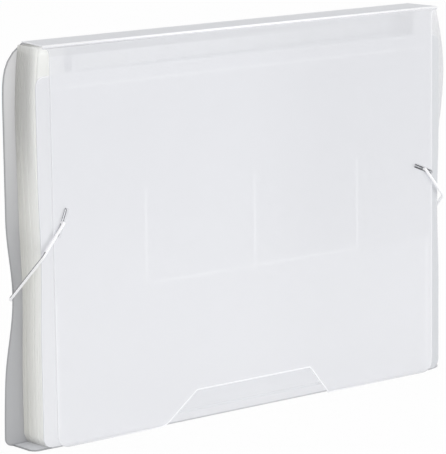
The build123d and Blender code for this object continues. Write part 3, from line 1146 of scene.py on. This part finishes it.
frosted_leaf = leaf_finish()
clear_sleeve = clear_finish("clear_sleeve", 0.35)
label_paper = paper_finish()
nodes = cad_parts
for n in range(1, POCKETS):
    dress(nodes[f"divider_{n:02d}"], frosted_leaf)
    dress(nodes[f"tab_sleeve_{n:02d}"], clear_sleeve)
    dress(nodes[f"tab_label_{n:02d}"], label_paper)
print("dividers dressed", POCKETS - 1)

# %% [markdown]
# The two pockets on the board are so clear that one sees little more than their welds, where the
# film is pressed to the board in a fine knurl and turns white. A mask from the place on the film
# marks the welds: there it covers, gets the knurl as a bump, and is brighter, with its own white
# and a painted glow. The rest of the film glows weakly too, painted light that makes up for the
# shade it throws on the board.

# %% Pocket film finish
# Painted light: the film's weak glow makes up for the shade it throws on the board.
FILM_PAINTED_GLOW = (0.6, 0.6, 0.6, 1)
WELD_ALPHA = 0.85


def pocket_finish(name, lines, alpha):
    """Clear film with its heat welds: lines is a function that gives the welds' mask."""
    material, shader, start = new_finish(name, 0.2, Emission_Strength=0.25)
    point, x, y, z = place_of(start)
    ripple = noise(point, 30.0, 2.0)
    weld = lines(x, z)
    knurl = point.node("ShaderNodeTexWave", {"wave_type": "BANDS", "bands_direction": "DIAGONAL"},
                       {"Vector": point, "Scale": 260.0})
    film = ripple.mix((0.84, 0.855, 0.88, 1), (0.88, 0.895, 0.92, 1))
    colour = weld.mix(film, (0.95, 0.955, 0.97, 1))
    connect(
        shader, Base_Color=colour, Alpha=weld * (WELD_ALPHA - alpha) + alpha,
        Emission_Color=weld.mix(FILM_PAINTED_GLOW, RIM_WHITE),
        Roughness=0.16 + ripple * 0.14 + weld * 0.25, Normal=bump(knurl * weld + ripple * 0.3, 0.1 * MM, 0.4),
    )
    return material


WELD = 1.4 * MM
WELD_FADE = 0.4 * WELD
FAINT = 0.15
card_low, card_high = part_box("card_pocket")
sheet_low, sheet_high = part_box("document_pocket")


def card_welds(x, z):
    """The welds at both sides and the foot of the card pocket, and the one between its halves."""
    from_middle = (x - CARD_SHIFT.x).size()
    sides = from_middle.rise(card_high.x - WELD - WELD_FADE, card_high.x - WELD)
    middle = 1 - from_middle.rise(0.45 * WELD, 0.75 * WELD)
    foot_top = card_low.z + CARD_SHIFT.z + WELD
    foot = 1 - z.rise(foot_top, foot_top + WELD_FADE)
    return sides.most(middle).most(foot)


def document_welds(x, z):
    """The welds at the sides and, fainter, at the foot, with the cut top edge as faint as that."""
    sides = x.size().rise(sheet_high.x - WELD - WELD_FADE, sheet_high.x - WELD)
    foot = 1 - z.rise(sheet_low.z + WELD, sheet_low.z + WELD + WELD_FADE)
    top = z.rise(sheet_high.z - 0.7 * WELD, sheet_high.z - WELD_FADE)
    return sides.most(foot * FAINT).most(top * FAINT)


dress(card_film, pocket_finish("welded_card_film", card_welds, 0.09))
dress(nodes["document_pocket"], pocket_finish("welded_document_film", document_welds, 0.08))
print("pocket tops", round(sheet_high.z / MM, 1), round((card_high + CARD_SHIFT).z / MM, 1), "mm")

# %% [markdown]
# The elastic is a white braid with yarn finer than its strands, so noise makes the yarn and the
# number strand darkens the gaps with painted shade. The number shade paints a dark line of shade
# along its upper rear side on the left, and a weak glow, painted light, keeps the cord white. The
# barbs are plated steel, and their two round walls are painted dark as a painted reflection of the
# dark of the gap that they lie in: the number wall says where those are.

# %% Elastic and barb finishes


def elastic_finish():
    # The braid's weak glow is painted light.
    material, shader, start = new_finish("white_braid", 0.7, Emission_Strength=0.22)
    point = place_of(start)[0]
    strand = start.node("ShaderNodeAttribute", {"attribute_name": "strand"}, out="Fac")
    yarn = noise(point, 5200.0, 2.0)
    shade = start.node("ShaderNodeAttribute", {"attribute_name": "shade"}, out="Fac").rise(-0.15, 0.20)
    # Painted shade: darker gaps between strands, and a dark line along the upper rear side on the left.
    colour = strand.mix((0.74, 0.74, 0.76, 1), (0.95, 0.95, 0.96, 1))
    colour = shade.mix(colour, (0.13, 0.13, 0.14, 1))
    connect(
        shader, Base_Color=colour, Emission_Color=colour,
        Roughness=0.62 + yarn * 0.2, Normal=bump(yarn, 0.03 * MM, 0.6),
    )
    return material


def barb_finish():
    material, shader, start = new_finish("plated_steel", 0.3, Metallic=1.0)
    point = place_of(start)[0]
    brushed = noise(point, 1800.0, 3.0)
    # Painted reflection: the round walls are darkened, as they mirror the dark gap the barb lies in.
    wall = start.node("ShaderNodeAttribute", {"attribute_name": "wall"}, out="Fac").rise(0.15, 0.5)
    colour = wall.mix(brushed.mix((0.40, 0.41, 0.43, 1), (0.60, 0.61, 0.63, 1)), (0.04, 0.04, 0.05, 1))
    connect(shader, Base_Color=colour, Roughness=0.22 + brushed * 0.2, Normal=bump(brushed, 0.01 * MM, 0.4))
    return material


dress(elastic, elastic_finish())
plated_steel = barb_finish()
dress(left_barb, plated_steel)
dress(right_barb, plated_steel)
print("elastic and barbs dressed")

# %% [markdown]
# Light goes straight through thin milky plastic and film. The quickest way to say so is to let the
# front sheets and the pleats throw no shadow, so what lies behind them is as bright as they are.
# The flap, the spine and their creases are also left out of the light that other pieces gather
# from around them.

# %% Light through the plastic
for piece in (flap_sheet, board_sheet, spine_sheet, left_pleats, right_pleats, *crease_pieces):
    piece.visible_shadow = False
for piece in (flap_sheet, spine_sheet, *crease_pieces[:2]):
    piece.visible_diffuse = False

# %% [markdown]
# The file stands on a plain floor. What the camera sees of the floor is white, by its own light,
# while other rays meet a matt grey that lights the file from below as a real floor would. The
# light path node tells the two apart.

# %% Floor
FLOOR_SIZE = 12.0


def seen_directly(start):
    """1 for rays that show what they meet to the camera, straight, mirrored or through a sheet."""
    camera_ray = start.node("ShaderNodeLightPath", out="Is Camera Ray")
    mirrored = Wire(start.tree, camera_ray.socket.node.outputs["Is Glossy Ray"])
    through = Wire(start.tree, camera_ray.socket.node.outputs["Is Transmission Ray"])
    return camera_ray.most(mirrored).most(through)


def studio_floor():
    """A large floor, white to the camera and matt grey to other rays."""
    corners = [(-1, -1), (1, -1), (1, 1), (-1, 1)]
    points = [(FLOOR_SIZE * x, FLOOR_SIZE * y, 0) for x, y in corners]
    floor = mesh_piece("studio_floor", points, [(0, 1, 2, 3)], smooth=False)
    floor.location.z = -0.2 * MM
    material = bpy.data.materials.new("studio_white")
    material.use_nodes = True
    tree = material.node_tree
    tree.nodes.remove(tree.nodes["Principled BSDF"])
    start = Wire(tree)
    matt = start.node("ShaderNodeBsdfDiffuse", inputs={"Color": (0.8, 0.8, 0.8, 1)})
    white = start.node("ShaderNodeEmission", inputs={"Color": (1, 1, 1, 1), "Strength": 1.0})
    mixed = start.node("ShaderNodeMixShader", inputs={0: seen_directly(start) * 0.97, 1: matt, 2: white})
    tree.links.new(mixed.socket, tree.nodes["Material Output"].inputs["Surface"])
    dress(floor, material)
    return floor


print("floor", studio_floor().name)

# %% [markdown]
# The world gives an even light from all sides and shows white, and one large lamp in front makes
# the face the brightest side, so the pleats on the left turn greyer towards the back, as in the
# photograph. A weak lamp behind keeps the back readable. Large lamps are used because small ones
# would draw sharp shadows and bright spots on satin plastic.

# %% World and lamps
world = bpy.data.worlds.new("studio")
bpy.context.scene.world = world
world.use_nodes = True
world_tree = world.node_tree
AMBIENT = 0.80
background = world_tree.nodes["Background"]
background.inputs["Color"].default_value = (1, 1, 1, 1)
strength = seen_directly(Wire(world_tree)) * (1 - AMBIENT) + AMBIENT
world_tree.links.new(strength.socket, background.inputs["Strength"])


LAMP_SIZE = 1.2
LAMP_AIM = Vector((0, 0, 0.12))


def area_lamp(name, place, power):
    """A square lamp that looks at the middle of the file."""
    data = bpy.data.lights.new(name, "AREA")
    data.shape = "SQUARE"
    data.size = LAMP_SIZE
    data.energy = power
    lamp = bpy.data.objects.new(name, data)
    lamp.location = place
    lamp.rotation_mode = "QUATERNION"
    lamp.rotation_quaternion = (LAMP_AIM - Vector(place)).to_track_quat("-Z", "Y")
    bpy.context.scene.collection.objects.link(lamp)
    return lamp


area_lamp("front_softbox", (0.3, -1.9, 0.4), 12.5)
area_lamp("rear_fill", (-0.2, 1.8, 1.0), 4.0)
bpy.context.scene.view_settings.view_transform = "Standard"
print("lamps", len(bpy.data.lights))
